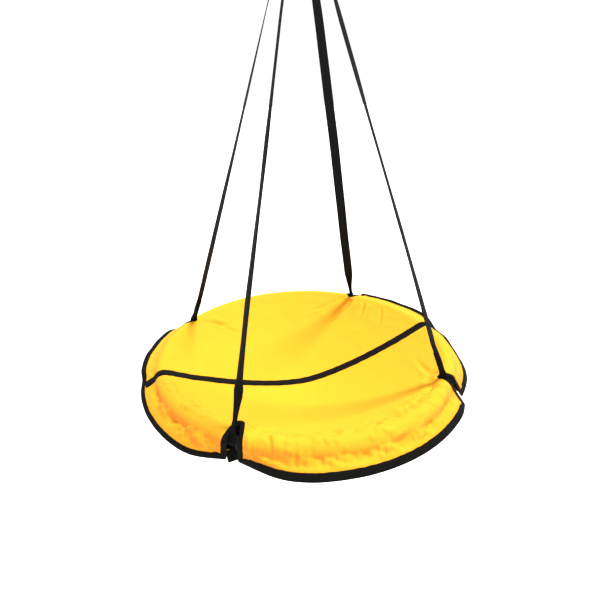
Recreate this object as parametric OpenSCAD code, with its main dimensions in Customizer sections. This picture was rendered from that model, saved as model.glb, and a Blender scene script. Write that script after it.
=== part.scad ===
// Saucer nest swing: a fabric disc on a padded steel hoop, hung by four webbing straps from one
// ring, a snap hook and a ball-bearing swivel. Millimetres, +Z up, origin at the centre of the
// swivel's upper eye, the point that the swing hangs from.

/* [Seat] */
// Radius of the hoop tube's centre line
hoop_r = 435; // [400:5:480]
// Depth of the fabric bowl's lowest point below the hoop's centre line
seat_sag = 103; // [85:1:115]
// Outside radius of the foam sleeves
foam_r = 26; // [24:1:28]
// Outside radius of the hoop tube
tube_r = 12.5; // [11:0.5:14]
// Wall of the hoop tube
tube_wall = 1.5; // [1.2:0.1:2]
// Thickness of the seat cloth
cloth_t = 1; // [0.8:0.1:1.2]

/* [Notches] */
// Width of each notch, where its sides run parallel
notch_w = 54; // [54:1:58]
// Distance of a notch's pointed inner end from the seat's centre
notch_in_r = 398; // [394:1:398]

/* [Straps] */
// Vertical distance from the ring's lowest point to the hoop's centre line
strap_drop = 1206; // [900:1:1500]
// Width of the webbing
web_w = 30; // [25:1:30]
// Thickness of the webbing
web_t = 1.8; // [1.4:0.1:2]
// Length of the sewn double layer above the hoop
sewn_len = 70; // [50:5:100]

/* [Hardware] */
// Radius of the ring's centre line
ring_r = 42; // [40:1:46]
// Radius of the rod that the ring, the snap hook and the swivel eye are bent from
rod_r = 5; // [4.5:0.1:5]
// Radius of the bore in the swivel's upper eye
eye_bore_r = 7; // [6:0.5:8]
// Radius of the snap hook's bows, to the rod's centre
bow_r = 17; // [17:0.5:19]
// Length of the snap hook's straight sides
hook_straight = 46; // [44:1:52]

/* [Hidden] */

$fn = 48;
e = 0.01;

YELLOW = "gold";
BLACK = [0.09, 0.09, 0.1];
STEEL = "silver";

// Azimuths of the notches; each sector runs from its azimuth to the next one.
FRONT_LEFT = 225;
FRONT_RIGHT = 315;
REAR_RIGHT = 45;
REAR_LEFT = 135;

// Swivel heights, from the upper eye down.
eye_r = 17;
eye_w = 12;
plug_r = 15;
cup_r = 19;
cup_top = -24;
cup_floor = -50;
cup_bottom = -54;
shank_r = 6;
shank_top = -34;
nut_h = 6;
nut_af = 19;
race_t = 2.5;
race_r = 14;
ball_r = 2.38;
ball_track_r = 10;
ball_n = 12;
run_gap = 0.05;
low_eye_r = 15;
low_eye_z = -76;

// Heights of the links that hang in one another.
link_gap = 0.2;
low_eye_rod_z = low_eye_z - low_eye_r;
hook_top_z = low_eye_rod_z + 2 * rod_r + link_gap;
hook_c1_z = hook_top_z - bow_r;
hook_c2_z = hook_c1_z - hook_straight;
hook_bottom_z = hook_c2_z - bow_r;
ring_z = hook_bottom_z + 2 * rod_r + link_gap - ring_r;
ring_bottom_z = ring_z - ring_r;
hoop_z = ring_bottom_z - strap_drop;

// Snap hook gate.
gate_r = 4.5;
gate_pin_r = 1.5;
pin_rise = 4;
tongue_t = 4;
nose_len = 7;
gate_gap = 0.3;

// Hoop joints: each tube has a reduced end that fits inside the next tube.
swage_deg = 4.6;
joint_deg = 4.5;
screw_r = 2.5;
foam_end_deg = 2.2;
foam_neck_deg = 4.6;
foam_neck = 1;

// Cloth over the padded hoop, in the radial section with the hoop's centre at (hoop_r, 0).
wrap_r = foam_r + 0.4;
bowl_power = 1.55;
flange_a = -42;
flange_len = 22;
flange_r = hoop_r + 47;
flange_z = -17;
seam_r = hoop_r - 43;
tape_t = 0.8;
tape_w = 20;
notch_tape_w = 9;
notch_wide_r = hoop_r + 20;
notch_arc_r = ((notch_wide_r - notch_in_r) ^ 2 + (notch_w / 2) ^ 2) / notch_w;
band_w = 30;
band_t = 1.4;

// Strap loops on the ring, side by side along its lowest arc.
loop_w = 12;
loop_t = 2.4;
loop_r = 6.2;
loop_drop = 0.6;
loop_apex = 24;
loop_leg = 40;
loop_step = 23.1;
hoop_loop_r = tube_r + 0.3;
hoop_apex = 46;
tab_len = 52;
tab_a = -40;

// ---- Helper functions and modules ----

function unit(v) = v / norm(v);
function across(v, n) = unit(v - (v * n) * n);
function arc(c, r, a0, a1, n) = [for (i = [0:n]) c + r * [cos(a0 + (a1 - a0) * i / n), sin(a0 + (a1 - a0) * i / n)]];

// Moves a path sideways by d, to its left.
function beside(p, d) = [for (i = [0:len(p) - 1])
    let (a = p[max(i - 1, 0)], b = p[min(i + 1, len(p) - 1)], t = unit(b - a)) p[i] + d * [-t[1], t[0]]];
function reversed(p) = [for (i = [len(p) - 1:-1:0]) p[i]];

// A strip that follows a path, from d0 to d1 beside it.
module strip(p, d0, d1) polygon(concat(beside(p, d0), reversed(beside(p, d1))));

// Turns a shape about the seat's axis, from azimuth a0 through sweep degrees, at the hoop's height.
module around(a0, sweep) translate([0, 0, hoop_z]) rotate([0, 0, a0])
    rotate_extrude(angle = sweep, $fn = 180) children();

// Places children at origin o with local X along x and local Z along z.
module placed(o, x, z) {
    y = cross(z, x);
    multmatrix([[x[0], y[0], z[0], o[0]], [x[1], y[1], z[1], o[1]], [x[2], y[2], z[2], o[2]], [0, 0, 0, 1]])
        children();
}

// A drop shape: a circle of radius r and the two tangents that meet at height apex.
module drop(r, apex, n = 28) {
    b = acos(r / apex);
    polygon(concat([[0, apex]], arc([0, 0], r, 90 + b, 450 - b, n)));
}

// A band of webbing around a rod along local X, closing to a double layer above it.
module web_loop(r, t, apex, w) rotate([90, 0, 90]) linear_extrude(w, center = true) difference() {
    drop(r + t, apex + t / tan(asin(r / apex)));
    drop(r, apex);
}

module bent_rod(r, a) rotate([90, 0, 0]) rotate([0, 0, a]) rotate_extrude(angle = 180)
    translate([r, 0]) circle(rod_r);

module eye_ring(r, z) translate([0, 0, z]) rotate([0, 90, 0]) rotate_extrude() translate([r, 0]) circle(rod_r);

// ---- Paths of the cloth, in the radial section ----

crown_a = atan(bowl_power * (wrap_r + seat_sag) / hoop_r);
touch = [hoop_r - wrap_r * sin(crown_a), wrap_r * cos(crown_a)];
function bowl_z(r) = -seat_sag + (touch[1] + seat_sag) * pow(r / touch[0], bowl_power);
bowl = concat([[0, -seat_sag], [2, -seat_sag]], [for (i = [1:17]) let (r = touch[0] * i / 18) [r, bowl_z(r)]]);
flange_0 = [flange_r, flange_z];
flange_1 = flange_0 + flange_len * [cos(flange_a), sin(flange_a)];
to_flange = flange_0 - [hoop_r, 0];
leave_a = atan2(to_flange[1], to_flange[0]) + acos(wrap_r / norm(to_flange));
top_path = concat(bowl, arc([hoop_r, 0], wrap_r, 90 + crown_a, leave_a, 12), [flange_0, flange_1]);

under_0 = flange_0 + 1.3 * cloth_t * [sin(flange_a), -cos(flange_a)];
under_1 = flange_1 + 1.3 * cloth_t * [sin(flange_a), -cos(flange_a)];
to_under = under_0 - [hoop_r, 0];
under_a = atan2(to_under[1], to_under[0]) - acos(wrap_r / norm(to_under));
seam = [seam_r, bowl_z(seam_r) - 0.4];
to_seam = seam - [hoop_r, 0];
seam_a = atan2(to_seam[1], to_seam[0]) - 360 + acos(wrap_r / norm(to_seam));
under_path = concat([under_1, under_0], arc([hoop_r, 0], wrap_r, under_a, seam_a, 14), [seam]);

// ---- Swivel ----

module swivel_top_eye() color(STEEL) difference() {
    union() {
        rotate([90, 0, 0]) cylinder(r = eye_r, h = eye_w, center = true);
        translate([0, 0, cup_top]) cylinder(r = 9, h = -cup_top - 10);
        translate([0, 0, cup_top - 8]) cylinder(r = plug_r, h = 8);
    }
    rotate([90, 0, 0]) cylinder(r = eye_bore_r, h = eye_w + 2, center = true);
}

module swivel_cup() color(STEEL) difference() {
    translate([0, 0, cup_bottom]) cylinder(r = cup_r, h = cup_top - cup_bottom);
    translate([0, 0, cup_floor]) cylinder(r = plug_r + run_gap, h = cup_top - cup_floor + 1);
    translate([0, 0, cup_bottom - 1]) cylinder(r = shank_r + run_gap, h = 6);
}

module race(z, r_in) color(STEEL) translate([0, 0, z]) difference() {
    cylinder(r = race_r, h = race_t);
    translate([0, 0, -1]) cylinder(r = r_in, h = race_t + 2);
}

ball_z = cup_floor + race_t + ball_r + run_gap;
upper_race_z = ball_z + ball_r + run_gap;

module bearing_lower_race() race(cup_floor, shank_r + 0.6);

module bearing_upper_race() race(upper_race_z, shank_r);

module bearing_balls() color(STEEL) for (i = [0:ball_n - 1]) rotate([0, 0, i * 360 / ball_n])
    translate([ball_track_r, 0, ball_z]) sphere(r = ball_r);

module swivel_nut() color(STEEL) translate([0, 0, upper_race_z + race_t]) difference() {
    cylinder(r = nut_af / 2 / cos(30), h = nut_h, $fn = 6);
    translate([0, 0, -1]) cylinder(r = shank_r, h = nut_h + 2);
}

module swivel_bottom_eye() color(STEEL) union() {
    eye_ring(low_eye_r, low_eye_z);
    translate([0, 0, low_eye_z + low_eye_r - 1]) cylinder(r = shank_r, h = shank_top - low_eye_z - low_eye_r + 1);
}

// ---- Snap hook, in the XZ plane, with its gate on +X ----

gate_pin_z = hook_c2_z + pin_rise;

module hook_body() color(STEEL) difference() {
    union() {
        translate([0, 0, hook_c1_z]) bent_rod(bow_r, 0);
        translate([0, 0, hook_c2_z]) bent_rod(bow_r, 180);
        translate([-bow_r, 0, hook_c2_z]) cylinder(r = rod_r, h = hook_straight);
        intersection() {
            translate([bow_r, 0, hook_c2_z - 1]) cylinder(r = gate_r, h = 2 * pin_rise + 1);
            translate([bow_r, 0, hook_c2_z + pin_rise]) cube([20, tongue_t, 3 * pin_rise], center = true);
        }
        intersection() {
            translate([bow_r, 0, hook_c1_z - nose_len]) cylinder(r = rod_r, h = nose_len + 1);
            translate([bow_r + gate_gap, -10, hook_c1_z - nose_len]) cube([10, 20, nose_len + 1]);
        }
    }
    translate([bow_r, 0, gate_pin_z]) rotate([90, 0, 0]) cylinder(r = gate_pin_r + run_gap, h = 20, center = true);
}

gate_z0 = hook_c2_z + 0.8;
gate_z1 = hook_c1_z - gate_gap;
gate_bore_z = hook_c2_z + 2 * pin_rise + 0.1;
gate_bore_h = 20;

module hook_gate() color(STEEL) difference() {
    translate([bow_r, 0, gate_z0]) cylinder(r = gate_r, h = gate_z1 - gate_z0);
    translate([bow_r - 10, -tongue_t / 2 - 0.2, gate_z0 - 1]) cube([20, tongue_t + 0.4, 2 * pin_rise + 2.2]);
    translate([bow_r, 0, gate_pin_z]) rotate([90, 0, 0]) cylinder(r = gate_pin_r, h = 20, center = true);
    translate([bow_r, 0, gate_bore_z - 1]) cylinder(r = 2.2, h = gate_bore_h + 1);
    translate([bow_r - e, -10, gate_z1 - nose_len - gate_gap]) cube([20, 20, nose_len + 2]);
    // The lower inner corner is cut back so that it clears the bow as the gate turns inwards.
    translate([bow_r - 10, -10, gate_z0 - 1]) cube([8.2, 20, 3.2]);
}

module hook_gate_pin() color(STEEL) translate([bow_r, 0, gate_pin_z]) rotate([90, 0, 0])
    cylinder(r = gate_pin_r, h = 2 * gate_r - 1, center = true);

module hook_gate_spring() color(STEEL) translate([bow_r, 0, gate_bore_z])
    linear_extrude(gate_bore_h - 0.2, twist = -360 * 8, slices = 112, $fn = 6) translate([1.6, 0]) circle(0.35);

module hanging_ring() color(STEEL) eye_ring(ring_r, ring_z);

// ---- Straps ----

// az is the notch's azimuth and lean the loop's place on the ring, in degrees from its lowest point.
module strap(az, lean) color(BLACK) {
    at_ring = [0, ring_r * sin(lean), ring_z - ring_r * cos(lean)];
    at_hoop = [hoop_r * cos(az), hoop_r * sin(az), hoop_z];
    ring_x = [0, cos(lean), sin(lean)];
    hoop_x = [-sin(az), cos(az), 0];
    down = across(at_hoop - at_ring, ring_x);
    up = across(at_ring - at_hoop, hoop_x);
    low = at_hoop + (hoop_apex + sewn_len) * up;
    high = at_ring + (loop_apex + loop_leg) * down;
    run = unit(high - low);
    run_x = across(hoop_x, run);
    end_x = across(ring_x, run);
    full_turn = atan2(cross(run_x, end_x) * run, run_x * end_x);
    turn = full_turn > 90 ? full_turn - 180 : full_turn < -90 ? full_turn + 180 : full_turn;
    placed(at_hoop, hoop_x, up) {
        web_loop(hoop_loop_r, web_t, hoop_apex, web_w);
        translate([0, 0, hoop_apex + sewn_len / 2]) cube([web_w, 2 * web_t, sewn_len], center = true);
    }
    // The webbing's cut end, a short tab that points outwards and down from under the hoop.
    translate(at_hoop) rotate([0, 0, az]) rotate([0, -tab_a, 0])
        translate([tab_len / 2, 0, -hoop_loop_r - 0.7 * web_t]) cube([tab_len, web_w, web_t], center = true);
    placed(low - 3 * run, run_x, run)
        linear_extrude(norm(high - low) + 6, twist = -turn, slices = 14, $fn = 4)
            square([web_w, web_t], center = true);
    placed(at_ring + loop_drop * down, ring_x, down) {
        web_loop(loop_r, loop_t, loop_apex, loop_w);
        translate([0, 0, loop_apex + loop_leg / 2]) cube([loop_w, 2 * loop_t, loop_leg], center = true);
    }
}

// ---- Hoop ----

module tube_section(r_out) translate([hoop_r, 0]) difference() {
    circle(r_out);
    circle(r_out - tube_wall);
}

module screw_at(az, r, h, z) rotate([0, 0, az + joint_deg + swage_deg / 2])
    translate([hoop_r, 0, hoop_z + z]) cylinder(r = r, h = h);

// One quarter of the hoop: its reduced end, past the next notch, plugs into the next tube.
module hoop_tube(az) color(BLACK) difference() {
    union() {
        around(az + joint_deg, 90) tube_section(tube_r);
        around(az + joint_deg + 90 - 0.3, swage_deg + 0.3) tube_section(tube_r - tube_wall - run_gap);
        around(az + joint_deg + 89.4, 0.6) tube_section(tube_r - tube_wall + 0.5);
    }
    screw_at(az, screw_r + 0.1, 40, -20);
    screw_at(az + 90, screw_r + 0.1, 40, -20);
}

module hoop_screws() color(STEEL) for (az = [45:90:315]) union() {
    screw_at(az, screw_r, 2 * tube_r + 7.5, -tube_r - 1);
    screw_at(az, 4.6, 2.6, -tube_r - 2.9);
}

module hoop_nuts() color(STEEL) for (az = [45:90:315]) difference() {
    rotate([0, 0, az + joint_deg + swage_deg / 2]) translate([hoop_r, 0, hoop_z + tube_r + 0.2])
        cylinder(r = 4 / cos(30), h = 5, $fn = 6);
    screw_at(az, screw_r, 10, tube_r - 1);
}

// The sleeve's ends, squeezed a little under the notch tapes, reach into the notches on both sides of a strap.
module foam(az) color(BLACK) difference() {
    union() {
        around(az + foam_end_deg, 90 - 2 * foam_end_deg) translate([hoop_r, 0]) circle(foam_r - foam_neck);
        around(az + foam_neck_deg, 90 - 2 * foam_neck_deg) translate([hoop_r, 0]) circle(foam_r);
    }
    around(az, 90) translate([hoop_r, 0]) circle(tube_r + 0.1);
    screw_at(az, 5.5, 60, -30);
}

// ---- Cover ----

// The plan of a notch, a pointed arch, d wider on each side.
module notch(az, d = 0) rotate([0, 0, az]) translate([notch_wide_r, 0, hoop_z - 80]) {
    r = notch_w / 2 + d;
    intersection() {
        translate([0, notch_arc_r - notch_w / 2, 0]) cylinder(r = notch_arc_r + d, h = 160);
        translate([0, notch_w / 2 - notch_arc_r, 0]) cylinder(r = notch_arc_r + d, h = 160);
    }
    translate([0, -r, 0]) cube([160, 2 * r, 160]);
}

module notches(azimuths) for (az = azimuths) notch(az);

module seat_panel(az) color(YELLOW) difference() {
    around(az, 180) strip(top_path, 0, cloth_t);
    notches([az + 45, az + 135]);
}

module centre_band() color(BLACK) intersection() {
    around(-90, 360) strip([for (i = [0:len(top_path) - 2]) top_path[i]], cloth_t + 0.15, cloth_t + 0.15 + band_t);
    translate([0, 0, hoop_z]) cube([2 * hoop_r + 120, band_w, 400], center = true);
}

module tunnel(az) color(YELLOW) difference() {
    around(az + 0.5, 89) strip(under_path, 0, cloth_t);
    notches([az, az + 90]);
}

// The folded tape's section: it covers both layers of the flange.
module tape_section() translate(flange_1) rotate([0, 0, flange_a]) difference() {
    translate([-tape_w + 1, -1.3 * cloth_t - cloth_t - tape_t - 0.1])
        square([tape_w, 2.3 * cloth_t + cloth_t + 2 * tape_t + 0.2]);
    translate([-tape_w, -2.3 * cloth_t - 0.1]) square([tape_w + 0.2, 3.3 * cloth_t + 0.2]);
}

edge_deg = asin((notch_w / 2 + notch_tape_w + 0.8) / (flange_r - 2));

module edge_binding(az) color(BLACK) around(az + edge_deg, 90 - 2 * edge_deg) tape_section();

// The tape around a notch, folded over the panel's edge, and over both layers at the flange.
module notch_binding(az) color(BLACK) difference() {
    intersection() {
        around(az - 9, 18) union() {
            strip(top_path, -e, cloth_t + tape_t + 0.1);
            difference() {
                strip(top_path, -tape_t - 0.1, 0);
                square([seam_r + 6, 60]);
            }
            translate(flange_1) rotate([0, 0, flange_a]) translate([-tape_w + 1, -2.3 * cloth_t - tape_t - 0.1])
                square([tape_w, 3.3 * cloth_t + 2 * tape_t + 0.2]);
        }
        notch(az, notch_tape_w);
    }
    notch(az, -tape_t);
    difference() {
        around(az - 10, 20) union() {
            strip(concat(top_path, [flange_1 + 0.2 * (flange_1 - flange_0) / flange_len]), -0.1, cloth_t + 0.1);
            translate(flange_1) rotate([0, 0, flange_a]) translate([-flange_len, -2.3 * cloth_t - 0.1])
                square([flange_len + 0.2, 3.3 * cloth_t + 0.2]);
        }
        notch(az);
    }
    around(az - 10, 20) strip(under_path, -0.1, cloth_t + 0.1);
}

// ---- Nodes ----

swivel_top_eye();
swivel_cup();
bearing_lower_race();
bearing_balls();
bearing_upper_race();
swivel_nut();
swivel_bottom_eye();
hook_body();
hook_gate();
hook_gate_pin();
hook_gate_spring();
hanging_ring();
strap(FRONT_LEFT, -1.5 * loop_step);  // strap_front_left
strap(FRONT_RIGHT, -0.5 * loop_step);  // strap_front_right
strap(REAR_LEFT, 0.5 * loop_step);  // strap_rear_left
strap(REAR_RIGHT, 1.5 * loop_step);  // strap_rear_right
hoop_tube(FRONT_LEFT);  // hoop_tube_front
hoop_tube(FRONT_RIGHT);  // hoop_tube_right
hoop_tube(REAR_RIGHT);  // hoop_tube_rear
hoop_tube(REAR_LEFT);  // hoop_tube_left
hoop_screws();
hoop_nuts();
foam(FRONT_LEFT);  // foam_front
foam(FRONT_RIGHT);  // foam_right
foam(REAR_RIGHT);  // foam_rear
foam(REAR_LEFT);  // foam_left
seat_panel(180);  // seat_panel_front
seat_panel(0);  // seat_panel_rear
centre_band();
tunnel(FRONT_LEFT);  // tunnel_front
tunnel(FRONT_RIGHT);  // tunnel_right
tunnel(REAR_RIGHT);  // tunnel_rear
tunnel(REAR_LEFT);  // tunnel_left
edge_binding(FRONT_LEFT);  // edge_binding_front
edge_binding(FRONT_RIGHT);  // edge_binding_right
edge_binding(REAR_RIGHT);  // edge_binding_rear
edge_binding(REAR_LEFT);  // edge_binding_left
notch_binding(FRONT_LEFT);  // notch_binding_front_left
notch_binding(FRONT_RIGHT);  // notch_binding_front_right
notch_binding(REAR_LEFT);  // notch_binding_rear_left
notch_binding(REAR_RIGHT);  // notch_binding_rear_right
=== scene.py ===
"""Looks of a saucer nest swing: cloth bowl, bindings, webbing straps and plated hardware."""

import math

import bpy
import numpy as np
from mathutils import Matrix, Vector, noise
from mathutils.bvhtree import BVHTree
from mathutils.geometry import delaunay_2d_cdt


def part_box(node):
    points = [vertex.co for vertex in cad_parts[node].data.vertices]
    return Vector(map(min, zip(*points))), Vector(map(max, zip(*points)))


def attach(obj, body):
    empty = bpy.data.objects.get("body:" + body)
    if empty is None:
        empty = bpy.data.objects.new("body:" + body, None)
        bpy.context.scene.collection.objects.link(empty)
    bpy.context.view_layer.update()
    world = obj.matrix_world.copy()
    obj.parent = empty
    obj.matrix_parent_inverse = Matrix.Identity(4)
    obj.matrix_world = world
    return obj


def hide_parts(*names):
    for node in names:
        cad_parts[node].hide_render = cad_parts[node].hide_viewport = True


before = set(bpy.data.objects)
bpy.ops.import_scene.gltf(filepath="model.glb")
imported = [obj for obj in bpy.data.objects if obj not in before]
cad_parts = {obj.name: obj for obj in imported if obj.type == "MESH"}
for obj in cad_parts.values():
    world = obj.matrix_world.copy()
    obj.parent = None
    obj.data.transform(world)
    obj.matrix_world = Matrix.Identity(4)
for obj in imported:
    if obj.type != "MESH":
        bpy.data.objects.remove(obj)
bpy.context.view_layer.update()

# ---------------- sizes taken from the frame

tube_low, tube_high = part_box("hoop_tube_front")
TUBE_R = (tube_high.z - tube_low.z) / 2
HOOP_Z = (tube_high.z + tube_low.z) / 2
HOOP_R = -tube_low.y - TUBE_R
FOAM_R = (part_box("foam_front")[1].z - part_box("foam_front")[0].z) / 2
EDGE_R = -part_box("edge_binding_front")[0].y
EDGE_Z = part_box("edge_binding_front")[0].z + 0.004 - HOOP_Z
SAG = HOOP_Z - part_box("seat_panel_front")[0].z
RING_LOW, RING_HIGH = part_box("hanging_ring")
ROD_R = (RING_HIGH.x - RING_LOW.x) / 2
RING_R = (RING_HIGH.z - RING_LOW.z) / 2 - ROD_R
RING_Z = (RING_HIGH.z + RING_LOW.z) / 2
BAND_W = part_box("centre_band")[1].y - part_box("centre_band")[0].y

HUB = Vector((0, 0, HOOP_Z))
UP = Vector((0, 0, 1))
SECTORS = {
    "front": ("front_left", "front_right"),
    "right": ("front_right", "rear_right"),
    "rear": ("rear_right", "rear_left"),
    "left": ("rear_left", "front_left"),
}
# For each notch: its azimuth, the azimuth of the strap loop in it, its half-width at the edge, the height
# that its inner end is lifted, and the distance of that end from the middle.
NOTCH_TABLE = {
    "rear_right": (45, 45, 0.022, 0.006, 0.424),
    "rear_left": (135, 135, 0.025, 0.006, 0.428),
    "front_left": (228.2, 226.9, 0.0166, 0.022, 0.409),
    "front_right": (316.4, 315.3, 0.0165, 0.003, 0.42),
}
NOTCHES, LOOPS, NOTCH_HALVES, NOTCH_LIFTS, NOTCH_TIPS = (
    {name: row[k] for name, row in NOTCH_TABLE.items()} for k in range(5)
)
# Distance from the middle at which a notch's sides become parallel.
NOTCH_WIDE = HOOP_R + 0.035
CLOTH_T = 0.001
# Radius of the cloth's middle surface round the foam.
WRAP = FOAM_R + 0.0008
BOWL_POWER = 1.55
# Radius of the seam between the facings and the seat.
SEAM_R = 0.392
# Pattern radius at the hoop's top, where the skirt begins.
CREST_S = 0.43
WEB_W = 0.03
WEB_T = 0.0018
FOLD_W = 0.012
FOLD_T = 0.0024
# Angle round the ring between neighbouring straps.
LEAN_STEP = 23.1
# Height of the lower eye's throat above the hoop's centre, and length of the sewn part above it.
HOOP_EYE, SEWN = 0.046, 0.07
# The same for the folded end on the ring.
RING_EYE, FOLDED = 0.024, 0.04
TAB_LENGTH, TAB_SHIFT = 0.05, 0.0165


def unit(v):
    return v / v.length


def across(v, n):
    return unit(v - n * v.dot(n))


def clamp(x, lo=0.0, hi=1.0):
    return max(lo, min(hi, x))


def smooth(a, b, x):
    t = clamp((x - a) / (b - a))
    return t * t * (3 - 2 * t)


def window(a, b, c, d, x, top=1.0):
    """Rises from 0 to its top between a and b, and falls back between c and d."""
    return top * smooth(a, b, x) * (1 - smooth(c, d, x))


def bell(x):
    return math.exp(-(x**2))


def polar(r, degrees, z=0.0):
    a = math.radians(degrees)
    return Vector((r * math.cos(a), r * math.sin(a), z))


def turned_axes(x, y, degrees):
    """A plan position in axes that are turned by an angle."""
    a = math.radians(degrees)
    return x * math.cos(a) + y * math.sin(a), -x * math.sin(a) + y * math.cos(a)


def rough(x, y, z):
    return noise.noise(Vector((x, y, z)))


def ring_rough(theta, scale, z):
    """Noise that closes on itself round the seat."""
    return rough(scale * math.cos(theta), scale * math.sin(theta), z)


def heading(points, i):
    """Direction of a polyline at one of its points."""
    return unit(points[min(i + 1, len(points) - 1)] - points[max(i - 1, 0)])


def relaxed(points):
    """A polyline smoothed once, with its ends kept."""
    inner = [(a + b * 2 + c) / 4 for a, b, c in zip(points, points[1:], points[2:])]
    return points[:1] + inner + points[-1:]


def walked(points):
    """Length along a plane polyline up to each of its points."""
    return np.concatenate([[0], np.cumsum(np.hypot(*np.diff(points, axis=0).T))])


def measured(points):
    """Length along a polyline in space up to each of its points."""
    lengths = [0.0]
    for a, b in zip(points, points[1:]):
        lengths.append(lengths[-1] + (b - a).length)
    return lengths


# ---------------- materials


class Graph:
    """A small helper that adds shader nodes and links them."""

    def __init__(self, name):
        self.material = bpy.data.materials.new(name)
        self.material.use_nodes = True
        self.tree = self.material.node_tree
        self.shader = self.tree.nodes["Principled BSDF"]
        self.where = self.add("TexCoord").outputs["Object"]

    def add(self, kind, *inputs, **fields):
        n = self.tree.nodes.new("ShaderNode" + kind)
        for key, value in fields.items():
            setattr(n, key, value)
        for i, value in enumerate(inputs):
            self.put(n.inputs[i], value)
        return n

    def put(self, socket, value):
        if value is None:
            return
        if isinstance(value, bpy.types.Node):
            value = value.outputs[0]
        if isinstance(value, bpy.types.NodeSocket):
            self.tree.links.new(value, socket)
        else:
            socket.default_value = value

    def fill(self, node, **inputs):
        """Sets a node's sockets by name, with an underscore for a space."""
        for key, value in inputs.items():
            self.put(node.inputs[key.replace("_", " ")], value)
        return node

    def set(self, **inputs):
        self.fill(self.shader, **inputs)

    def math(self, operation, a, b=None):
        return self.add("Math", a, b, operation=operation)

    def ramp(self, value, low, high):
        return self.fill(self.add("MapRange", value), To_Min=low, To_Max=high)

    def mix(self, factor, a, b):
        n = self.add("Mix", data_type="RGBA")
        return self.fill(n, Factor=factor, A=a, B=b).outputs["Result"]

    def noise(self, scale, detail=3.0, roughness=0.5):
        n = self.add("TexNoise", self.where)
        return self.fill(n, Scale=scale, Detail=detail, Roughness=roughness).outputs[0]

    def bump(self, height, strength, distance, normal=None):
        return self.fill(self.add("Bump"), Strength=strength, Distance=distance, Height=height, Normal=normal)


def rgba(colour, by=1.0):
    """An opaque colour, made darker or lighter by a factor."""
    return (*(min(1.0, c * by) for c in colour), 1.0)


def weave(g, pitch_u, pitch_v, twill=0.0):
    """Over-and-under height of a woven cloth from the piece's UV map, which is in metres."""
    uv = g.add("SeparateXYZ", g.add("UVMap").outputs[0])
    u = g.math("MULTIPLY", uv.outputs[0], math.pi / pitch_u)
    v = g.math("MULTIPLY", uv.outputs[1], math.pi / pitch_v)
    if twill:
        u = g.math("ADD", u, g.math("MULTIPLY", v, twill))
    su = g.math("SINE", u)
    sv = g.math("SINE", v)
    over = g.math("MULTIPLY", su, sv)
    yarn = g.math("ADD", g.math("ABSOLUTE", su), g.math("ABSOLUTE", sv))
    return g.math("ADD", g.math("MULTIPLY", over, 0.5), g.math("MULTIPLY", yarn, 0.35))


def cloth_material(name, dark=1.0, coated_without_painted_shade=False):
    """Bright yellow Oxford cloth: plain weave with painted shade in the low spots between yarns, a faint
    crosswise slub, and painted shade that turns steep, sideways-facing slopes orange, except on the coated
    facing.
    """
    g = Graph(name)
    height = weave(g, 0.0009, 0.0009)
    slub = g.noise(260.0, 2.0)
    cloud = g.noise(5.5, 4.0, 0.55)
    yellow = rgba((0.97, 0.52, 0.022), dark)
    deep = rgba((0.96, 0.47, 0.019), dark)
    colour = g.mix(g.ramp(cloud, 0.0, 1.0), deep, yellow)
    colour = g.mix(g.math("MULTIPLY", slub, 0.12), colour, rgba((1.0, 0.5, 0.05)))
    # Painted shade: the low spots between the yarns are darkened a little towards brown.
    colour = g.mix(g.math("MULTIPLY", g.ramp(height, 0.9, 0.0), 0.06), colour, rgba((0.6, 0.24, 0.01)))
    # Painted shade: except on the coated facing, steep slopes, most of all those facing sideways, are mixed
    # towards orange.
    if not coated_without_painted_shade:
        tilt = g.add("SeparateXYZ", g.add("TexCoord").outputs["Normal"])
        steep = g.math("SUBTRACT", 1.0, g.math("ABSOLUTE", tilt.outputs[2]))
        aside = g.math("ADD", g.math("ABSOLUTE", tilt.outputs[0]), 0.3)
        shade = g.math("MULTIPLY", g.math("MULTIPLY", steep, aside), 1.5)
        colour = g.mix(shade, colour, rgba((0.95, 0.3, 0.018)))
    fine = g.bump(height, 0.35, 0.0003)
    crumple = g.bump(g.noise(38.0, 5.0, 0.6), 0.16, 0.0035, fine)
    g.set(Base_Color=colour, Roughness=g.ramp(slub, 0.62, 0.82), Normal=crumple)
    g.set(Specular_IOR_Level=0.2 if coated_without_painted_shade else 0.1, Sheen_Weight=0.02, Sheen_Roughness=0.5)
    return g.material


def webbing_material(name, tint=(0.0045, 0.0045, 0.0049), pitch=0.0011, rows=0.0016):
    """Black polyester webbing: twill ribs along its length, a slight sheen, dusty patches, and painted
    highlights on the raised yarns.
    """
    g = Graph(name)
    height = weave(g, pitch, rows, 0.5)
    dust = g.noise(30.0, 4.0)
    fibre = g.noise(900.0, 2.0)
    base = g.mix(g.math("MULTIPLY", dust, 0.5), rgba(tint), rgba(tint, 1.9))
    # Painted highlight: the raised spots of the weave are made lighter.
    base = g.mix(g.math("MULTIPLY", g.ramp(height, 0.0, 0.6), fibre), base, rgba(tint, 2.6))
    g.set(Base_Color=base, Roughness=g.ramp(fibre, 0.68, 0.88), Normal=g.bump(height, 0.8, 0.0006))
    g.set(Specular_IOR_Level=0.07, Sheen_Weight=0.008, Sheen_Roughness=0.4)
    return g.material


def foam_material():
    """Closed-cell foam: fine pits and a skin that is smoother on the high spots."""
    g = Graph("foam_black")
    cells = g.fill(g.add("TexVoronoi", g.where), Scale=700.0)
    skin = g.noise(60.0, 3.0)
    colour = g.mix(skin, rgba((0.008, 0.008, 0.009)), rgba((0.02, 0.02, 0.022)))
    g.set(Base_Color=colour, Roughness=g.ramp(skin, 0.7, 0.95), Specular_IOR_Level=0.15)
    g.set(Normal=g.bump(cells.outputs["Distance"], 0.5, 0.0006, g.bump(skin, 0.3, 0.002)))
    return g.material


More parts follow.
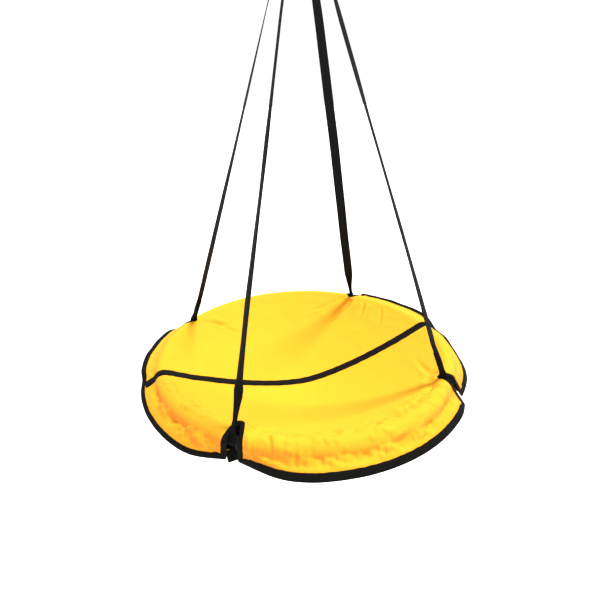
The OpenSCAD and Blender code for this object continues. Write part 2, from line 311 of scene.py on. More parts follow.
def steel_material(name, colour, rough, metallic=1.0, scratch=0.25, streak=(1.0, 1.0, 1.0)):
    """Plated or drawn steel: faint streaks, small scratches and slightly brighter, worn raised spots."""
    g = Graph(name)
    g.where = g.fill(g.add("Mapping", g.where), Scale=streak)
    fine = g.noise(900.0, 3.0, 0.7)
    broad = g.noise(45.0, 4.0, 0.6)
    edge = g.add("NewGeometry").outputs["Pointiness"]
    wear = g.fill(g.add("MapRange", edge), From_Min=0.5, From_Max=0.58)
    tone = g.mix(g.ramp(broad, 0.0, 1.0), rgba(colour, 0.8), rgba(colour))
    tone = g.mix(g.math("MULTIPLY", wear, 0.5), tone, rgba(colour, 1.25))
    g.set(Base_Color=tone, Metallic=metallic, Roughness=g.ramp(broad, rough * 0.75, rough * 1.3))
    g.set(Normal=g.bump(fine, scratch, 0.0002, g.bump(broad, 0.1, 0.0008)))
    return g.material


def coat_material():
    """Black powder coat on the hoop: orange-peel bump, satin, with rubbed lighter patches."""
    g = Graph("tube_powder_coat")
    peel = g.noise(420.0, 2.0)
    rub = g.noise(16.0, 5.0, 0.65)
    colour = g.mix(g.math("MULTIPLY", rub, 0.5), rgba((0.012, 0.012, 0.012)), rgba((0.05, 0.05, 0.05)))
    g.set(Base_Color=colour, Roughness=g.ramp(rub, 0.32, 0.55), Specular_IOR_Level=0.4)
    g.set(Normal=g.bump(peel, 0.25, 0.0004))
    return g.material


def floor_material():
    g = Graph("floor_pale")
    tone = g.noise(1.5, 3.0)
    g.set(Base_Color=g.mix(tone, rgba((0.9, 0.9, 0.9)), rgba((0.93, 0.93, 0.93))), Roughness=0.9)
    g.set(Emission_Color=rgba((1, 1, 1)), Emission_Strength=0.55)
    return g.material


CLOTH = cloth_material("cloth_yellow")
LINING = cloth_material("cloth_yellow_facing", 0.97, coated_without_painted_shade=True)
WEBBING = webbing_material("webbing_black")
TAPE = webbing_material("binding_tape_black", (0.0045, 0.0044, 0.004), 0.0007, 0.0007)
THREAD = webbing_material("thread_black", (0.008, 0.008, 0.0084), 0.0003, 0.0003)
FOAM = foam_material()
ZINC = steel_material("steel_zinc", (0.62, 0.63, 0.64), 0.3)
FORGED = steel_material("steel_hook", (0.58, 0.59, 0.6), 0.36, scratch=0.4, streak=(1, 1, 0.1))
POLISHED = steel_material("steel_polished", (0.74, 0.75, 0.77), 0.12, scratch=0.1)
WIRE = steel_material("steel_spring_wire", (0.5, 0.51, 0.53), 0.25)
COAT = coat_material()


# ---------------- mesh helpers


def new_object(name, data):
    thing = bpy.data.objects.new(name, data)
    bpy.context.scene.collection.objects.link(thing)
    return thing


def new_mesh(name, verts, faces):
    mesh = bpy.data.meshes.new(name)
    mesh.from_pydata([tuple(v) for v in verts], [], [tuple(int(i) for i in f) for f in faces])
    return mesh


def corner_ids(mesh):
    """The vertex at each corner of each face."""
    ids = np.zeros(len(mesh.loops), int)
    mesh.loops.foreach_get("vertex_index", ids)
    return ids


def write_uvs(mesh, uvs):
    """A UV map from one (u, v) per vertex, in metres."""
    layer = mesh.uv_layers.new(name="plan")
    layer.data.foreach_set("uv", np.asarray(uvs, float)[corner_ids(mesh)].ravel())


def read_uvs(mesh):
    flat, out = np.zeros(len(mesh.loops) * 2), np.zeros((len(mesh.vertices), 2))
    mesh.uv_layers["plan"].data.foreach_get("uv", flat)
    out[corner_ids(mesh)] = flat.reshape(-1, 2)
    return out


def read_normals(mesh):
    flat = np.zeros(len(mesh.vertices) * 3)
    mesh.vertex_normals.foreach_get("vector", flat)
    return [Vector(n) for n in flat.reshape(-1, 3)]


def sides_of(face):
    """The directed edges of a face, as pairs of vertices."""
    return list(zip(face, face[1:] + face[:1]))


def new_piece(name, verts, faces, material, uvs, slot, *replaced):
    """A smooth piece on the seat's body; uvs is one (u, v) per vertex, in metres."""
    mesh = new_mesh(name, verts, faces)
    write_uvs(mesh, uvs)
    mesh.materials.append(material)
    mesh.polygons.foreach_set("use_smooth", [True] * len(mesh.polygons))
    mesh.validate()
    mesh.update()
    piece = new_object(name, mesh)
    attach(piece, "seat")
    if replaced:
        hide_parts(*replaced)


def sweep_faces(rows, cols, first=0):
    """Quads of a closed section of cols points swept over rows stations, with both ends capped."""
    faces = []
    for i in range(rows - 1):
        for j in range(cols):
            k = (j + 1) % cols
            a, b = first + i * cols, first + (i + 1) * cols
            faces.append((a + j, a + k, b + k, b + j))
    faces.append(tuple(first + j for j in reversed(range(cols))))
    faces.append(tuple(first + (rows - 1) * cols + j for j in range(cols)))
    return faces


class Ribbon:
    """A strip of webbing built station by station; several strips can share one mesh."""

    def __init__(self):
        self.verts, self.faces, self.uvs = [], [], []

    def strip(self, stations):
        """stations: (centre, width direction, face normal, width, thickness, cupping)."""
        first, lengths = len(self.verts), measured([station[0] for station in stations])
        for (centre, wide, face, width, thick, cup), along in zip(stations, lengths):
            ring = []
            for side in (1, -1):
                for x in (-0.5, -0.47, -0.38, -0.2, 0.0, 0.2, 0.38, 0.47, 0.5):
                    f = x * side
                    lift = cup * (0.25 - f * f) * 4
                    edge = 0.55 if abs(f) == 0.5 else 1.0
                    ring.append((f * width, side * thick / 2 * edge + lift))
            for b, n in ring:
                self.verts.append(centre + wide * b + face * n)
                self.uvs.append((b, along))
        self.faces += sweep_faces(len(stations), len(ring), first)


class Stitches:
    """Short raised thread stitches along lines, collected into one mesh."""

    def __init__(self):
        self.verts, self.faces = [], []

    def one(self, centre, along, normal, length=0.0028, radius=0.00038):
        side = unit(along.cross(normal))
        first = len(self.verts)
        for t, r in ((-0.5, 0.25), (-0.32, 0.9), (0.0, 1.1), (0.32, 0.9), (0.5, 0.25)):
            for k in range(6):
                a = math.pi / 3 * k
                drop = -radius * 0.8 if abs(t) == 0.5 else 0
                self.verts.append(
                    centre
                    + along * (t * length)
                    + side * (radius * r * math.cos(a))
                    + normal * (radius * r * math.sin(a) + drop)
                )
        self.faces += sweep_faces(5, 6, first)

    def line(self, points, normals, pitch=0.0042):
        """Stitches at even steps along a polyline."""
        walk = 0.0
        due = pitch / 2
        for a, b, n in zip(points, points[1:], normals):
            step = (b - a).length
            if step < 1e-9:
                continue
            while due <= walk + step:
                self.one(a.lerp(b, (due - walk) / step), (b - a) / step, n)
                due += pitch
            walk += step

    def piece(self, name, material, slot):
        uvs = [(v.x + v.z, v.y) for v in self.verts]
        new_piece(name, self.verts, self.faces, material, uvs, slot)


# ---------------- the cloth's radial section


BOWL_STEPS = 80


def cloth_profile():
    """Radius and height, from the bowl's centre over the padded hoop and down the flange to the edge."""
    lean = math.atan(BOWL_POWER * (WRAP + SAG) / HOOP_R)
    touch_r, touch_z = HOOP_R - WRAP * math.sin(lean), WRAP * math.cos(lean)
    points = []
    for i in range(BOWL_STEPS):
        f = i / BOWL_STEPS
        points.append((touch_r * f, -SAG + (touch_z + SAG) * f**BOWL_POWER))
    start, leave = math.pi / 2 + lean, math.radians(38)
    for i in range(24):
        a = start + (leave - start) * i / 23
        points.append((HOOP_R + WRAP * math.cos(a), WRAP * math.sin(a)))
    p0 = np.array(points[-1])
    p1 = np.array((EDGE_R - 0.0024, EDGE_Z))
    d0 = np.array((math.sin(leave), -math.cos(leave))) * 0.052
    d1 = np.array((math.cos(math.radians(43)), -math.sin(math.radians(43)))) * 0.05
    for i in range(1, 31):
        t = i / 30
        h = (2 * t**3 - 3 * t**2 + 1, t**3 - 2 * t**2 + t, -2 * t**3 + 3 * t**2, t**3 - t**2)
        points.append(tuple(h[0] * p0 + h[1] * d0 + h[2] * p1 + h[3] * d1))
    return np.array(points)


PROFILE = cloth_profile()
PROFILE_S = walked(PROFILE)
S_EDGE = PROFILE_S[-1]
S_HOOP = PROFILE_S[BOWL_STEPS]
R_EDGE = PROFILE[-1, 0]


def r_at(s):
    return np.interp(s, PROFILE_S, PROFILE[:, 0])


def z_at(s):
    return np.interp(s, PROFILE_S, PROFILE[:, 1])


def s_at(r):
    return np.interp(r, PROFILE[:, 0], PROFILE_S)


def notch_half(name, r):
    """Half-width of a notch at distance r along its middle: a pointed arch that ends in parallel sides."""
    tip, half = NOTCH_TIPS[name], NOTCH_HALVES[name]
    if r >= NOTCH_WIDE:
        return half
    if r <= tip:
        return 0.0
    bend = ((NOTCH_WIDE - tip) ** 2 + half**2) / (2 * half)
    return math.sqrt(bend**2 - (NOTCH_WIDE - r) ** 2) - (bend - half)


def notch_outline(name, outer, step):
    """Plan outline of a notch along +X, from the edge on the -Y side round to the edge on the +Y side."""
    tip, half = NOTCH_TIPS[name], NOTCH_HALVES[name]
    far = math.sqrt(outer**2 - half**2)
    legs = max(2, int((far - NOTCH_WIDE) / step))
    bends = max(5, int(math.hypot(NOTCH_WIDE - tip, half) / step))
    side = [(far + (NOTCH_WIDE - far) * i / legs, half) for i in range(legs)]
    for i in range(bends):
        x = NOTCH_WIDE + (tip - NOTCH_WIDE) * math.sin(math.pi / 2 * i / bends)
        side.append((x, notch_half(name, x)))
    return [(x, -y) for x, y in side] + [(tip, 0.0)] + side[::-1]


def in_notch(x, y, grow=0.0):
    for name, az in NOTCHES.items():
        lx, ly = turned_axes(x, y, az)
        if lx > NOTCH_TIPS[name] - grow and abs(ly) < notch_half(name, lx) + grow:
            return True
    return False


def developed(x, y):
    """Plan position to the flat pattern, where distance from the centre is length along the cloth."""
    r = math.hypot(x, y)
    s = float(s_at(r))
    return (x / r * s, y / r * s) if r > 1e-9 else (0.0, 0.0)


def cloth_pattern(rim_step, bowl_step):
    """Flat pattern of the whole cover as triangles, with its notches, and the centre seam as an edge line."""
    outline = []
    corners = {name: math.degrees(math.asin(half / R_EDGE)) for name, half in NOTCH_HALVES.items()}
    names = list(NOTCHES)
    for name, following in zip(names, names[1:] + names[:1]):
        az = NOTCHES[name]
        outline += [developed(*turned_axes(x, y, -az)) for x, y in notch_outline(name, R_EDGE, rim_step)]
        span = (NOTCHES[following] - az) % 360 - corners[name] - corners[following]
        count = 2 * int(math.radians(span) * S_EDGE / rim_step / 2)
        for i in range(1, count):
            b = math.radians(az + corners[name] + span * i / count)
            outline.append((S_EDGE * math.cos(b), S_EDGE * math.sin(b)))

    def step_at(s):
        return bowl_step + (rim_step - bowl_step) * smooth(0.28, 0.37, s)

    last_row = S_EDGE - 0.6 * rim_step
    seam, s = [(0.0, 0.0)], step_at(0.0)
    while s <= last_row:
        seam += [(s, 0.0), (-s, 0.0)]
        s += step_at(s)
    ends = sorted(range(len(outline)), key=lambda i: abs(outline[i][1]))[:2]
    verts = [Vector(p) for p in outline + seam]
    edges = [(i, (i + 1) % len(outline)) for i in range(len(outline))]
    row = sorted(list(range(len(outline), len(verts))) + ends, key=lambda i: verts[i].x)
    edges += list(zip(row, row[1:]))
    s, ring = step_at(0.0), 0
    while s < last_row:
        count = max(6, int(2 * math.pi * s / step_at(s)))
        r = float(r_at(s))
        for i in range(count):
            b = 2 * math.pi * (i + 0.5 * (ring % 2)) / count
            x, y = s * math.cos(b), s * math.sin(b)
            if abs(y) < 0.55 * step_at(s) or in_notch(r * math.cos(b), r * math.sin(b), 0.55 * rim_step):
                continue
            verts.append(Vector((x, y)))
        s += step_at(s) * 0.87
        ring += 1
    points, _, faces, _, _, _ = delaunay_2d_cdt(verts, edges, [], 1, 1e-6)
    return np.array([tuple(p) for p in points]), [tuple(f) for f in faces]


# ---------------- shape of the cover


# Beside a notch the bound edge hangs in closer to the hoop: azimuth, inward pull in mm and reach in degrees
# on the clockwise and then the anticlockwise side, and the drop in mm.
HEM_PULLS = ((228.3, 38, 9, 41, 13, 2), (316.4, 6, 6, 18, 9, 2), (45, 3, 5, 3, 5, 0), (135, 12, 8, 12, 8, 4))


def edge_shift(theta):
    """Radial and vertical wander of the bound edge: soft waves, lifts at the back, pulls at the notches."""
    a = math.degrees(theta) % 360
    wave, ripple = ring_rough(theta, 3.1, 4.2), ring_rough(theta, 11, 9.7)
    turned = (a + 180) % 360 - 180
    pinch = bell((a - 176) / 4) + 1.3 * bell((turned - 1) / 5)
    dr = 0.005 + 0.002 * wave + 0.0012 * ripple - 0.007 * pinch
    dz = 0.003 * wave + 0.002 * ripple - 0.002 * pinch - 0.002 * (1 - math.sin(theta))
    dz -= 0.016 * bell((turned - 1) / 6)
    dz += window(-16, 4, 42, 58, turned, 0.045)
    dz += window(130, 142, 172, 194, a, 0.034)
    for az, pull_before, before, pull_after, after, drop in HEM_PULLS:
        off = (a - az + 180) % 360 - 180
        pull, reach = (pull_before, before) if off < 0 else (pull_after, after)
        near = bell(off / reach)
        dr -= pull / 1000 * near
        dz -= drop / 1000 * near
    return min(dr, 0.008), dz


def place(s, theta):
    """The cover's smooth shape at pattern radius s and azimuth theta, before wrinkles."""
    r, z = float(r_at(s)), float(z_at(s))
    w = clamp((r - HOOP_R - 0.008) / (R_EDGE - HOOP_R - 0.008)) ** 1.4 if s > S_HOOP else 0.0
    dr, dz = edge_shift(theta)
    r, z = r + w * dr, z + w * dz
    p = Vector((r * math.cos(theta), r * math.sin(theta), HOOP_Z + z))
    for name, az in NOTCHES.items():
        near = (p.xy - polar(NOTCH_TIPS[name], az).xy).length / 0.024
        if near < 3:
            p.z += NOTCH_LIFTS[name] * bell(near)
    return p


def rest_shape(pattern):
    """The cut cloth: a flat ring beyond the hoop's top, so fuller than the bound edge that gathers it."""
    grid = np.linspace(0, S_EDGE, 500)
    step, flow = np.diff(grid), np.diff(r_at(grid))
    full = np.clip((grid[1:] - 0.42) / 0.03, 0, 1)
    flow = np.maximum(flow, step * 0.97 * full)
    rho = np.concatenate([[0], np.cumsum(flow)])
    rise = np.sqrt(np.maximum(step**2 - flow**2, 0)) * np.sign(np.diff(z_at(grid)))
    zeta = np.concatenate([[0], np.cumsum(rise)])
    out = []
    for x, y in pattern:
        s, a = math.hypot(x, y), math.atan2(y, x)
        r = float(np.interp(s, grid, rho))
        out.append((r * math.cos(a), r * math.sin(a), HOOP_Z - SAG + float(np.interp(s, grid, zeta))))
    return out


def outward(p):
    """Distance from the hoop's centre line, and the direction away from it."""
    flat = Vector((p.x, p.y, 0))
    hub = (flat.normalized() if flat.length > 1e-6 else Vector((1, 0, 0))) * HOOP_R + HUB
    return (p - hub).length, p - hub


def off_foam(p):
    """The point itself, or the nearest one that is clear of the foam."""
    far, away = outward(p)
    return p + unit(away) * (WRAP - far) if far < WRAP else p


def hold_at(s):
    """How firmly the cloth is held: in the bowl's middle, on the foam's crown and under the edge tape."""
    crown = window(0.37, 0.41, 0.45, 0.475, s, 0.85)
    return max(1 - smooth(0.24, 0.34, s), crown, smooth(S_EDGE - 0.026, S_EDGE - 0.017, s))


def simulate(points, faces, pattern, edge_ids, frames=14):
    """Cloth simulation of the rim between the bowl and the bound edge; the bowl's middle is held."""
    start = []
    for p, (x, y) in zip(points, pattern):
        s = math.hypot(x, y)
        w = window(CREST_S, 0.475, S_EDGE - 0.03, S_EDGE - 0.018, s)
        n = rough(p.x * 42, p.y * 42, 1.5) + 0.6 * rough(p.x * 95, p.y * 95, 7.0)
        start.append(p + outward(p)[1].normalized() * (0.0016 * w * n))
    sim = new_object("cover_sim", new_mesh("cover_sim", start, faces))
    sim.shape_key_add(name="Basis")
    key = sim.shape_key_add(name="rest")
    key.data.foreach_set("co", np.array(rest_shape(pattern)).ravel())
    key.value = 0.0
    pin = sim.vertex_groups.new(name="pin")
    for i, (x, y) in enumerate(pattern):
        s = math.hypot(x, y)
        hold = 1.0 if i in edge_ids else hold_at(s)
        if hold > 0:
            pin.add([i], hold, "REPLACE")
    cloth = sim.modifiers.new("Cloth", "CLOTH")
    springs = {"tension": 25, "compression": 25, "shear": 12}
    for kind, stiffness in springs.items():
        setattr(cloth.settings, kind + "_stiffness", stiffness)
        setattr(cloth.settings, kind + "_damping", 8)
    cloth.settings.quality = 5
    cloth.settings.mass = 0.1
    cloth.settings.bending_stiffness = 0.08
    cloth.settings.air_damping = 2
    cloth.settings.vertex_group_mass = "pin"
    cloth.settings.rest_shape_key = key
    cloth.settings.effector_weights.gravity = 0.15
    cloth.collision_settings.use_collision = False
    cloth.collision_settings.use_self_collision = False
    cloth.point_cache.frame_start, cloth.point_cache.frame_end = 1, frames
    scene = bpy.context.scene
    for f in range(1, frames + 1):
        scene.frame_set(f)
    done = sim.evaluated_get(bpy.context.evaluated_depsgraph_get()).to_mesh()
    out = [Vector(v.co) for v in done.vertices]
    bpy.data.objects.remove(sim)
    scene.frame_set(1)
    return out


def settle(points, base, pattern):
    """Lets only the free skirt beyond the hoop's top move, caps how far, and keeps the cloth off the foam."""
    farthest, out = 0.011, []
    for p, b, (x, y) in zip(points, base, pattern):
        move = (p - b) * smooth(CREST_S, 0.465, math.hypot(x, y))
        if move.length > farthest:
            move = unit(move) * farthest
        out.append(off_foam(b + move))
    return out


# Creases in the cloth: start azimuth and radius, end azimuth and radius, width and depth, lengths in mm.
CREASES = (
    (44, 412, 57, 262, 14, 8.5),
    (40, 410, 42, 300, 8, 3.5),
    (36, 405, 34, 336, 7, 4.0),
    (26, 408, 17, 330, 7, 2.2),
    (51, 405, 70, 330, 9, 2.5),
    (313, 418, 301, 394, 16, 7.0),
    (311, 402, 300, 340, 9, 2.5),
    (305, 412, 291, 392, 7, 3.0),
    (320, 392, 338, 350, 9, 2.5),
    (300, 424, 296, 400, 6, 2.6),
    (132, 405, 118, 330, 10, 3.0),
    (143, 405, 155, 350, 9, 2.6),
    (128, 400, 119, 268, 12, 3.4),
    (233, 424, 236, 478, 7, 3.6),
    (238, 418, 241, 482, 8, 4.2),
    (246, 422, 248, 476, 9, 3.6),
    (256, 430, 254, 482, 8, 3.0),
    (186, 458, 205, 456, 15, 6.0),
    (203, 458, 222, 456, 16, 7.0),
    (196, 440, 190, 476, 8, 3.0),
    (206, 442, 203, 480, 9, 3.4),
    (222, 430, 217, 478, 8, 3.4),
    (213, 436, 208, 480, 9, 2.8),
    (190, 430, 187, 478, 8, 3.4),
    (221, 398, 205, 372, 9, 2.6),
    (230, 398, 244, 380, 9, 2.6),
)


def crease_depth(p):
    """Depth of the creases at a point: a groove between two low ridges, fading towards its far end."""
    depth = 0.0
    for az0, r0, az1, r1, width, deep in CREASES:
        a, b = polar(r0 / 1000, az0), polar(r1 / 1000, az1)
        line = b - a
        flat = Vector((p.x, p.y, 0)) - a
        t = flat.dot(line) / line.length_squared
        if not -0.15 < t < 1.1:
            continue
        off = (flat - line * t).length * 1000
        side = 1 if line.cross(flat).z > 0 else -1
        bend = math.sin(clamp(t) * math.pi) * 3
        x = (side * off - bend) / (width * (1 - 0.35 * clamp(t)))
        fade = window(-0.15, 0.1, 0.45, 1.1, t)
        ridges = 0.55 * math.exp(-((x - 1.5) ** 2) * 0.9) + 0.3 * bell(x + 1.6)
        depth += deep / 1000 * fade * (bell(x) - ridges)
    return depth


def gather_height(p):
    """Fine radial puckers beside the bound edge, strongest along the front."""
    r = math.hypot(p.x, p.y)
    theta = math.atan2(p.y, p.x)
    a = math.degrees(theta) % 360
    w = smooth(HOOP_R - 0.005, HOOP_R + 0.02, r)
    front = window(236, 262, 306, 312, a)
    swing = ring_rough(theta, 7, 3.3)
    phase = theta * 150 + 9 * swing + 90 * (r - HOOP_R)
    patch = max(0.0, rough(p.x * 15, p.y * 15, 2.2) + 0.1)
    size = 0.0003 + 0.0026 * front * patch
    return w * size * math.sin(phase) + rumple(p, r, a)


def rumple(p, r, a):
    """Soft irregular dents: strongest over the front of the padded hoop, fainter in the bowl."""
    front = window(185, 205, 318, 330, a)
    rim = smooth(0.355, 0.4, r)
    q = Vector((p.x * 26, p.y * 26, p.z * 26 + 3))
    dents = noise.noise(q) + 0.55 * noise.noise(q * 2.3)
    fold = abs(rough(p.x * 13, p.y * 13, 8.1))
    broad = rough(p.x * 7, p.y * 7, 1.7)
    rimmed = rim * (0.0012 + 0.0062 * front) * dents
    bowl = (1 - rim) * smooth(0.1, 0.3, r) * (0.0022 * dents * max(0.0, broad + 0.1) + 0.0026 * (0.12 - fold))
    return rimmed + bowl


def clear_of_tape(x, y):
    """0 where the tapes lie and 1 on free cloth, at a position of the flat pattern."""
    s, a = math.hypot(x, y), math.atan2(y, x)
    free, r = 1 - smooth(S_EDGE - 0.035, S_EDGE - 0.0215, s), float(r_at(s))
    for name, az in NOTCHES.items():
        b = a - math.radians(az)
        lx, ly, tip = r * math.cos(b), r * math.sin(b), NOTCH_TIPS[name]
        if lx > tip - 0.02:
            past = abs(ly) - notch_half(name, lx) if lx > tip else math.hypot(lx - tip, ly)
            free *= smooth(0.012, 0.02, past)
    return free


def shape_cover():
    """Pattern, simulation, subdivision, then creases. Returns the cover's mesh for cutting into pieces."""
    rim, bowl = ((0.0068, 0.019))
    pattern, faces = cloth_pattern(rim, bowl)
    count = {}
    for f in faces:
        for e in map(frozenset, sides_of(f)):
            count[e] = count.get(e, 0) + 1
    edge_ids = {i for e, n in count.items() if n == 1 for i in e}
    base = [place(math.hypot(x, y), math.atan2(y, x)) for x, y in pattern]
    points = base
    points = settle(simulate(base, faces, pattern, edge_ids), base, pattern)
    for i, (x, y) in enumerate(pattern):
        if abs(y) < 1e-6:
            points[i].y = 0.0
    mesh = new_mesh("cover", points, faces)
    write_uvs(mesh, pattern)
    half = [0 if sum(pattern[i][1] for i in f) < 0 else 1 for f in faces]
    mesh.materials.append(CLOTH)
    mesh.materials.append(CLOTH)
    mesh.polygons.foreach_set("material_index", half)
    cover = new_object("cover", mesh)
    fine = cover.modifiers.new("Subdivision", "SUBSURF")
    fine.levels = 1
    fine.boundary_smooth = "PRESERVE_CORNERS"
    data = bpy.data.meshes.new_from_object(cover.evaluated_get(bpy.context.evaluated_depsgraph_get()))
    bpy.data.objects.remove(cover)
    for v, n, (x, y) in zip(data.vertices, read_normals(data), read_uvs(data)):
        p = Vector(v.co)
        v.co = off_foam(p + n * ((gather_height(p) - crease_depth(p)) * clear_of_tape(x, y)))
    data.update()
    return data


cover = shape_cover()
cover_points = [Vector(v.co) for v in cover.vertices]
cover_faces = [tuple(p.vertices) for p in cover.polygons]
cover_half = [p.material_index for p in cover.polygons]
cover_tree = BVHTree.FromPolygons(cover_points, cover_faces)


def on_cover(p):
    """The nearest point of the cover and its upward or outward normal."""
    where, normal, _, _ = cover_tree.find_nearest(p)
    return where, normal


def panel(name, half, replaced):
    """One half of the cover, as a closed sheet with a top, an underside and turned edges."""
    normals, uv = read_normals(cover), read_uvs(cover)
    faces = [f for f, h in zip(cover_faces, cover_half) if h == half]
    used = sorted({i for f in faces for i in f})
    new = {i: k for k, i in enumerate(used)}
    n = len(used)
    verts = [cover_points[i] + normals[i] * (CLOTH_T / 2) for i in used]
    verts += [cover_points[i] - normals[i] * (CLOTH_T / 2) for i in used]
    top = [tuple(new[i] for i in f) for f in faces]
    under = [tuple(i + n for i in reversed(f)) for f in top]
    sides = {e: f for f in top for e in sides_of(f)}
    walls = [(b, a, a + n, b + n) for a, b in sides if (b, a) not in sides]
    uvs = [tuple(uv[i]) for i in used] * 2
    new_piece(name, verts, top + under + walls, CLOTH, uvs, "seat_cloth", replaced)


panel("seat_cloth_front", 0, "seat_panel_front")
panel("seat_cloth_rear", 1, "seat_panel_rear")


# ---------------- bindings along the cover's edge


def boundary_path():
    """The cover's outline in order: points, direction along it, inward direction and the cloth's normal."""
    nexts = {e: f for f in cover_faces for e in sides_of(f)}
    open_edges = {a: (b, f) for (a, b), f in nexts.items() if (b, a) not in nexts}

    def offset(i):
        p = cover_points[i]
        return abs(math.atan2(p.y, p.x)) - p.x

    start = min(open_edges, key=offset)
    order, at = [start], open_edges[start][0]
    while at != start:
        order.append(at)
        at = open_edges[at][0]
    points = [cover_points[i] for i in order]
    for _ in range(2):
        points = relaxed(points[-1:] + points + points[:1])[1:-1]
    out = []
    for i, p in enumerate(points):
        f = open_edges[order[i]][1]
        middle = sum((cover_points[k] for k in f), Vector()) / len(f)
        ahead = unit(points[(i + 1) % len(points)] - points[i - 1])
        _, normal = on_cover(middle)
        inward = across(across(middle - p, ahead), normal)
        out.append((p, ahead, inward, normal))
    return out


BOUNDARY = boundary_path()


def near_notch(p):
    """Name of the notch that p belongs to, its distance along and across the notch."""
    for name, az in NOTCHES.items():
        lx, ly = turned_axes(p.x, p.y, az)
        if lx > 0.3 and abs(ly) < 0.048:
            return name, lx, ly
    return None, 0.0, 0.0


def tape_width(p):
    """Width of the tape: narrower round the notches and along the left of the bound edge."""
    name, lx, ly = near_notch(p)
    if name is None:
        a = math.degrees(math.atan2(p.y, p.x)) % 360
        return 0.0195 - window(150, 185, 215, 245, a, 0.0065)
    past = abs(ly) - NOTCH_HALVES[name]
    if past > 0.003:
        return 0.01 + 0.006 * smooth(0.004, 0.02, past)
    return 0.0095 + 0.0055 * smooth(0.44, 0.47, lx)


def tape(name, run, replaced):
    """A folded tape over the edge: it lies on both faces of the cloth and wraps round its edge."""
    under = 0.0029 if name.startswith("edge") else 0.0019
    verts, uvs, top_line, top_normal, low_line, low_normal = [], [], [], [], [], []
    for (p, _, inward, normal), along in zip(run, measured([item[0] for item in run])):
        wide = tape_width(p) * (1 + 0.05 * rough(along * 60, 0, 3))
        pucker = 0.0003 * math.sin(along * 520) + 0.0004 * rough(along * 90, 2, 1)
        grips = []
        for part in (1.0, 0.66, 0.33, 0.06):
            where, n = on_cover(p + inward * (wide * part))
            if n.dot(normal) < 0.2:
                n = normal
            if (where - p - inward * (wide * part)).length > 0.012:
                where = p + inward * (wide * part)
            grips.append((where, n))
        high = CLOTH_T / 2 + 0.001 + pucker
        notch, lx, _ = near_notch(p)
        low = under
        if notch:
            low += 0.02 * bell((lx - NOTCH_TIPS[notch]) / 0.013)
        ring = [g[0] + g[1] * high for g in grips]
        ring.append(p - inward * 0.0009 + normal * 0.0009)
        ring.append(p - inward * 0.0014 - normal * (low * 0.3))
        ring.append(p - inward * 0.0009 - normal * (low * 0.85))
        ring += [g[0] - g[1] * low for g in reversed(grips)]
        ring += [g[0] - g[1] * (low - 0.0008) for g in grips]
        ring.append(p + inward * 0.0003 - normal * (low * 0.6))
        ring.append(p + inward * 0.0001 - normal * (low * 0.2))
        ring.append(p + inward * 0.0003 + normal * 0.0004)
        ring += [g[0] + g[1] * (high - 0.0008) for g in reversed(grips)]
        verts += ring
        uvs += [(k * wide / 10, along) for k in range(len(ring))]
        edge = p + inward * (wide - 0.0022)
        where, n = on_cover(edge)
        top_line.append(where + n * (high + 0.0001))
        top_normal.append(n)
        low_line.append(where - n * (low + 0.0001))
        low_normal.append(-n)
    new_piece(name, verts, sweep_faces(len(run), len(ring)), TAPE, uvs, "binding_tape", replaced)
    return (top_line, top_normal), (low_line, low_normal)


def runs():
    """The outline cut into four notch runs and four edge runs."""
    tags = []
    for p, _, _, _ in BOUNDARY:
        name, _, ly = near_notch(p)
        tags.append(name if name and abs(ly) < 0.045 else None)
    start = next(i for i in range(len(tags)) if tags[i] is None and tags[i - 1] is not None)
    order = BOUNDARY[start:] + BOUNDARY[:start]
    tags = tags[start:] + tags[:start]
    found, now, tag = [], [], tags[0]
    for item, t in zip(order, tags):
        if t != tag:
            found.append((tag, now))
            now, tag = [now[-1]], t
        now.append(item)
    found.append((tag, now))
    return found


edge_stitches = Stitches()
for tag, run in runs():
    if tag:
        lines = tape("notch_tape_" + tag, run, "notch_binding_" + tag)
    else:
        middle = run[len(run) // 2][0]
        az = math.degrees(math.atan2(middle.y, middle.x)) % 360
        side = ("right", "rear", "left", "front")[int(((az + 45) % 360) // 90)]
        lines = tape("edge_tape_" + side, run, "edge_binding_" + side)
    for points, normals in lines:
        edge_stitches.line(points, normals)
edge_stitches.piece("stitching_bindings", THREAD, "binding_tape")


# ---------------- tunnel facings below the hoop


def under_profile(count=34):
    """Radius and height of the facing, from the bound edge below the foam to its seam on the seat."""
    edge = np.array(PROFILE[-1]) + np.array((-0.0006, -0.0022))
    hang = WRAP + 0.0012
    inner = np.array((SEAM_R, float(z_at(s_at(SEAM_R))) - 0.0012))
    a0, a1 = math.radians(-42), math.radians(-128)
    p0 = np.array((HOOP_R + hang * math.cos(a0), hang * math.sin(a0)))
    p1 = np.array((HOOP_R + hang * math.cos(a1), hang * math.sin(a1)))
    flange = np.array((EDGE_R - 0.019, edge[1] + 0.0105))
    points = [edge, edge * 0.5 + flange * 0.5 + (0, -0.0006), flange]
    points += [flange + (p0 - flange) * t for t in (0.3, 0.6, 0.85)]
    points += [np.array((HOOP_R + hang * math.cos(a), hang * math.sin(a))) for a in np.linspace(a0, a1, 12)]
    points += [p1 + (inner - p1) * t for t in (0.25, 0.5, 0.75, 1.0)]
    points = np.array(points)
    length = walked(points)
    at = np.linspace(0, length[-1], count)
    return np.stack([np.interp(at, length, points[:, 0]), np.interp(at, length, points[:, 1])], 1)


